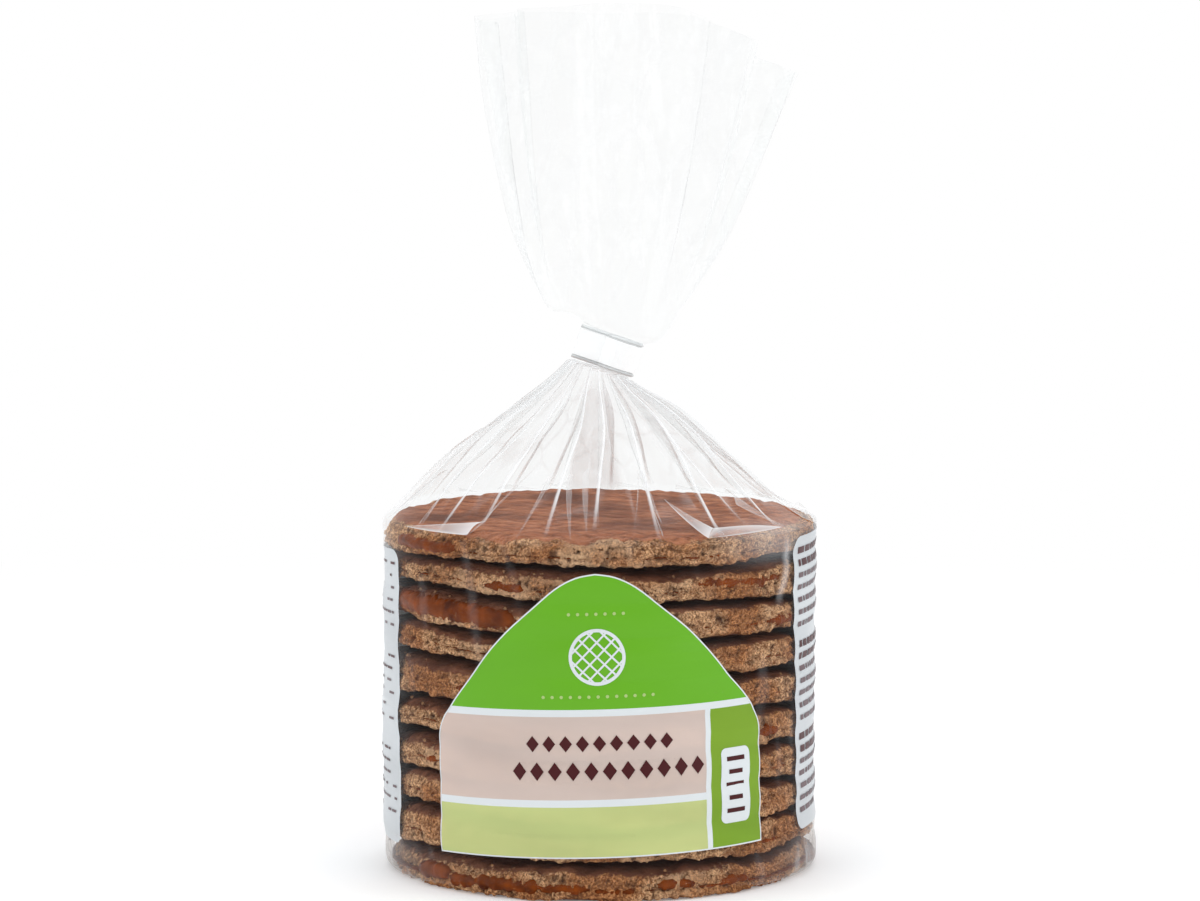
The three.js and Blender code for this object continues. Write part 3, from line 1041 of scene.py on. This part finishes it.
# How far each layer of ink stands off the film, in millimetres, so that no two lie in one another.
field_lift, edge_lift, mark_lift, bar_lift, dash_lift = 0.05, 0.08, 0.11, 0.14, 0.17
half_outline = [
    (39.75, 0), (39.75, 22), (39.6, 25.5), (39.0, 28.2), (37.8, 30.6), (36.4, 32.3), (35.0, 33.9),
    (31.3, 37.9), (28.4, 41.2), (22.2, 48.2), (15.0, 54.4), (9.1, 59.2), (4.4, 61.6), (0, 62.4),
]


def eased(points, pieces):
    """A smooth line through the points, each stretch in so many pieces."""
    line = []
    for k in range(len(points) - 1):
        p0, p1, p2, p3 = (Vector(points[min(max(k + j, 0), len(points) - 1)]) for j in (-1, 0, 1, 2))
        for step in range(pieces):
            t = step / pieces
            line.append(0.5 * (2 * p1 + (p2 - p0) * t + (2 * p0 - 5 * p1 + 4 * p2 - p3) * t**2
                               + (3 * p1 - p0 - 3 * p2 + p3) * t**3))
    return line + [Vector(points[-1])]


def on_film(across, up, lift):
    """Where a spot on the flat artwork lies on the film, in millimetres from the label's middle and foot."""
    arc = label_middle + across * cos(label_tilt) - up * sin(label_tilt)
    height = label_foot + across * sin(label_tilt) + up * cos(label_tilt)
    angle = (-pi / 2 + arc / print_radius) % turn
    return tube_point(angle, height * mm) + outward(angle) * lift * mm


def split(bm, axis, place, **others):
    everything = bm.verts[:] + bm.edges[:] + bm.faces[:]
    bmesh.ops.bisect_plane(bm, geom=everything, dist=1e-4, plane_co=Vector(axis) * place, **others)


def wrapped(name, bm, material, lift):
    """Cut a flat shape into a lattice, lay it on the film and make it a piece of the bag."""
    spacing = 2.0
    wide = [vert.co.x for vert in bm.verts]
    tall = [vert.co.y for vert in bm.verts]
    for axis, low, high in ((across_axis, min(wide), max(wide)), (up_axis, min(tall), max(tall))):
        step = ceil(low / spacing) * spacing
        while step < high:
            split(bm, axis, step, plane_no=axis)
            step += spacing
    bmesh.ops.triangulate(bm, faces=bm.faces)
    for vert in bm.verts:
        vert.co = on_film(vert.co.x, vert.co.y, lift)
    for face in bm.faces:
        face.normal_update()
        if face.normal.dot(Vector((face.verts[0].co.x, face.verts[0].co.y, 0))) < 0:
            face.normal_flip()
    in_bag(name, finished_mesh(name, bm), material)


def label_shape(edge_only=False):
    """The whole label flat, or the fine line round it."""
    bm = bmesh.new()
    right = eased(half_outline[1:], 4)
    outline = [Vector(half_outline[0])] + right + [Vector((-p.x, p.y)) for p in reversed(right[:-1])]
    outline.append(Vector((-half_outline[0][0], half_outline[0][1])))
    whole = bm.faces.new([bm.verts.new((p.x, p.y, 0)) for p in outline])
    bm.normal_update()
    ring = bmesh.ops.inset_region(
        bm, faces=[whole], thickness=edge_width, use_boundary=True, use_even_offset=True)["faces"]
    kept = set(ring) if edge_only else {whole}
    bmesh.ops.delete(bm, geom=[face for face in bm.faces if face not in kept], context="FACES")
    bmesh.ops.triangulate(bm, faces=bm.faces)
    return bm


def trim(bm, axis, low, high):
    """Keep the part of a flat shape between two lines across an axis."""
    for limit, sign in ((low, -1), (high, 1)):
        if limit is not None:
            split(bm, axis, limit, plane_no=[component * sign for component in axis], clear_outer=True)
    return bm


def ink(name, colour, cover=1.0):
    """Flat printing ink under the film's gloss; thin ink lets some of the brown behind it through."""
    material = plain_material(name, colour, 0.38, Specular_IOR_Level=0.22)
    tree = material.node_tree
    patchy = uneven(tree, 60, 3, 0.5, (0.4, 0.4, 1.5))
    darker = tuple(value * (0.96 if cover == 1 else 0.9) for value in colour)
    if cover < 1:
        give(material, Alpha=math_node(tree, "ADD", times(tree, patchy, 0.06), cover - 0.03))
    normal = bumped(tree, uneven(tree, 130, 4, 0.6), 0.2, 0.5 * mm)
    return give(material, Base_Color=shaded(tree, patchy, 0.35, 0.65, darker, colour), Normal=normal)


white_ink = ink("white_ink", (0.72, 0.76, 0.78))
green_ink = ink("green_ink", (0.135, 0.425, 0.014))
tab_ink = ink("tab_green_ink", (0.2, 0.365, 0.02), 0.97)
blush_ink = ink("blush_ink", (0.9, 0.735, 0.66), 0.68)
pale_green_ink = ink("pale_green_ink", (0.76, 0.865, 0.345), 0.67)
maroon_ink = ink("maroon_ink", (0.06, 0.004, 0.006))

wrapped("print_edge", label_shape(edge_only=True), white_ink, edge_lift)
# The fields between the label's white lines, in millimetres up it and across it.
gable_foot, blush_top, blush_foot, pale_top = 32.8, 31.2, 12.8, 11.2
bands_end, tab_start = 24.4, 25.7
for name, heights, sides, field_ink in (
    ("gable", (gable_foot, None), (None, None), green_ink),
    ("upper_line", (blush_top, gable_foot), (None, None), white_ink),
    ("blush", (blush_foot, blush_top), (None, bands_end), blush_ink),
    ("lower_line", (pale_top, blush_foot), (None, bands_end), white_ink),
    ("pale_green", (None, pale_top), (None, bands_end), pale_green_ink),
    ("divider", (None, blush_top), (bands_end, tab_start), white_ink),
    ("tab", (None, blush_top), (tab_start, None), tab_ink),
):
    field = trim(trim(label_shape(), up_axis, *heights), across_axis, *sides)
    wrapped(f"print_{name}", field, field_ink, field_lift)


def rounded_plate(low, high, corner):
    """A flat upright plate with rounded corners between two opposite corners."""
    bm = bmesh.new()
    made = [bm.verts.new((x, y, 0)) for x, y in (low, (high[0], low[1]), high, (low[0], high[1]))]
    bm.faces.new(made)
    bmesh.ops.bevel(bm, geom=made, offset=corner, segments=6, profile=0.5, affect="VERTICES", material=-1)
    return bm


def marks(places):
    """Small flat marks in one shape: each is a middle, a width, a height and a number of sides."""
    bm = bmesh.new()
    for (x, y), width, height, sides in places:
        if sides == 0:
            made = bmesh.ops.create_grid(bm, x_segments=1, y_segments=1, size=0.5)["verts"]
        else:
            made = bmesh.ops.create_circle(bm, cap_ends=True, segments=sides, radius=0.5)["verts"]
        for vert in made:
            vert.co = Vector((x + vert.co.x * width, y + vert.co.y * height, 0))
    return bm


wrapped("print_plate", rounded_plate((28.3, 5.2), (36.4, 22.0), 1.4), white_ink, mark_lift)
rows = [((32.3, 8.0 + 2.9 * k), 5.0 - 1.2 * (k % 2), 1.0, 0) for k in range(5)]
wrapped("print_plate_bars", marks(rows), maroon_ink, bar_lift)
name_rows = [((-15.0 + 3.75 * k, 25.2), 2.9, 3.6, 4) for k in range(9)]
name_rows += [((-18.0 + 4.02 * k, 19.2), 3.1, 4.1, 4) for k in range(11)]
wrapped("print_name_row", marks(name_rows), maroon_ink, mark_lift)

# A round waffle with its lattice, drawn in white lines, with a row of dots above and below it.
sign_height, sign_radius, sign_cell = 44.2, 6.2, 2.25
sign = bmesh.new()
bmesh.ops.create_circle(sign, cap_ends=True, segments=64, radius=sign_radius)
disc = sign.faces[:]
bmesh.ops.inset_region(sign, faces=disc, thickness=0.75, use_boundary=True, use_even_offset=True)
bmesh.ops.delete(sign, geom=disc, context="FACES")
for quarter in (-1, 1):
    for step in range(-2, 3):
        reach = 2 * sqrt(sign_radius**2 - (sign_cell * step) ** 2) - 1.0
        made = bmesh.ops.create_grid(sign, x_segments=1, y_segments=1, size=0.5)["verts"]
        bmesh.ops.scale(sign, verts=made, vec=(reach, 0.42, 1))
        bmesh.ops.translate(sign, verts=made, vec=(0, sign_cell * step, 0))
        bmesh.ops.rotate(sign, verts=made, matrix=Euler((0, 0, quarter * pi / 4)).to_matrix())
bmesh.ops.translate(sign, verts=sign.verts, vec=(0, sign_height, 0))
wrapped("print_sign", sign, white_ink, mark_lift)
dots = [((-6 + 2 * k, 53.6), 0.75, 0.75, 12) for k in range(7)]
dots += [((-12 + 2 * k, 35.6), 0.75, 0.75, 12) for k in range(13)]
wrapped("print_dots", marks(dots), ink("light_green_ink", (0.42, 0.58, 0.2)), mark_lift)


# ---- The side panels ----
# Two white panels with rounded corners, one on each flank and reaching towards the back, each with rows of
# small dark dashes in three blocks.

panel_foot, panel_top, panel_corner = -0.6, 66.2, 3.4
panel_edges = {"left": (-106.5, -56.4), "right": (54.8, 104.9)}
panel_ink = ink("panel_ink", (0.62, 0.65, 0.67), 0.97)
dusk_ink = ink("dusk_ink", (0.13, 0.08, 0.088))
block_rows = 8  # seven rows of dashes and one left blank
margin = 2.4
for side, (start, end) in panel_edges.items():
    plate = rounded_plate((start, panel_foot), (end, panel_top), panel_corner)
    wrapped(f"panel_{side}", plate, panel_ink, field_lift)
    dark, light = [], []
    row_height = panel_top - 3.2
    for row in range(3 * block_rows):
        if row % block_rows == block_rows - 1:
            row_height -= 1.6
            continue
        bold = row % block_rows < 2
        reach = start + margin
        number = 0
        while reach < end - 4:
            number += 1
            length = mix(0.9, 4.2, draw(row * 40 + number + (7000 if side == "left" else 9000)))
            length = min(length, end - margin - reach)
            thick = 0.55 if side == "left" else 1.5 if bold else 1.15
            if side == "right" or draw(row * 40 + number + 300) > 0.45:
                (dark if bold else light).append(((reach + length / 2, row_height), length, thick, 0))
            reach += length + 0.75
            if row % block_rows == block_rows - 2 and number > 4:
                break
        row_height -= 2.8
    wrapped(f"panel_{side}_dark_dashes", marks(dark), maroon_ink, dash_lift)
    wrapped(f"panel_{side}_light_dashes", marks(light), dusk_ink, dash_lift)


# ---- The clip ----
# A white plastic band wrapped once round the neck and pinched together in a short tail on the left,
# with a bare steel wire laid along each of its edges.

# The band glows a little: painted light, standing in for the light that comes through the thin plastic.
band = plain_material("white_band_plastic", (0.95, 0.96, 0.955), 0.45,
                      Emission_Color=(1, 1, 1), Emission_Strength=0.07)
tree = band.node_tree
give(band, Normal=bumped(tree, uneven(tree, 500, 3, 0.6), 0.15, 0.2 * mm))
steel = plain_material("steel_wire", (0.7, 0.72, 0.72), 0.5, Metallic=0.15)
tree = steel.node_tree
give(steel, Roughness=spread(tree, uneven(tree, 900, 3, 0.6), -0.6, 2.4))
for node_name, material in (("clip_band", band), ("clip_wire_lower", steel), ("clip_wire_upper", steel)):
    node = bpy.data.objects[node_name]
    for slot in node.material_slots:
        slot.material = material
    if not node.material_slots:
        node.data.materials.append(material)
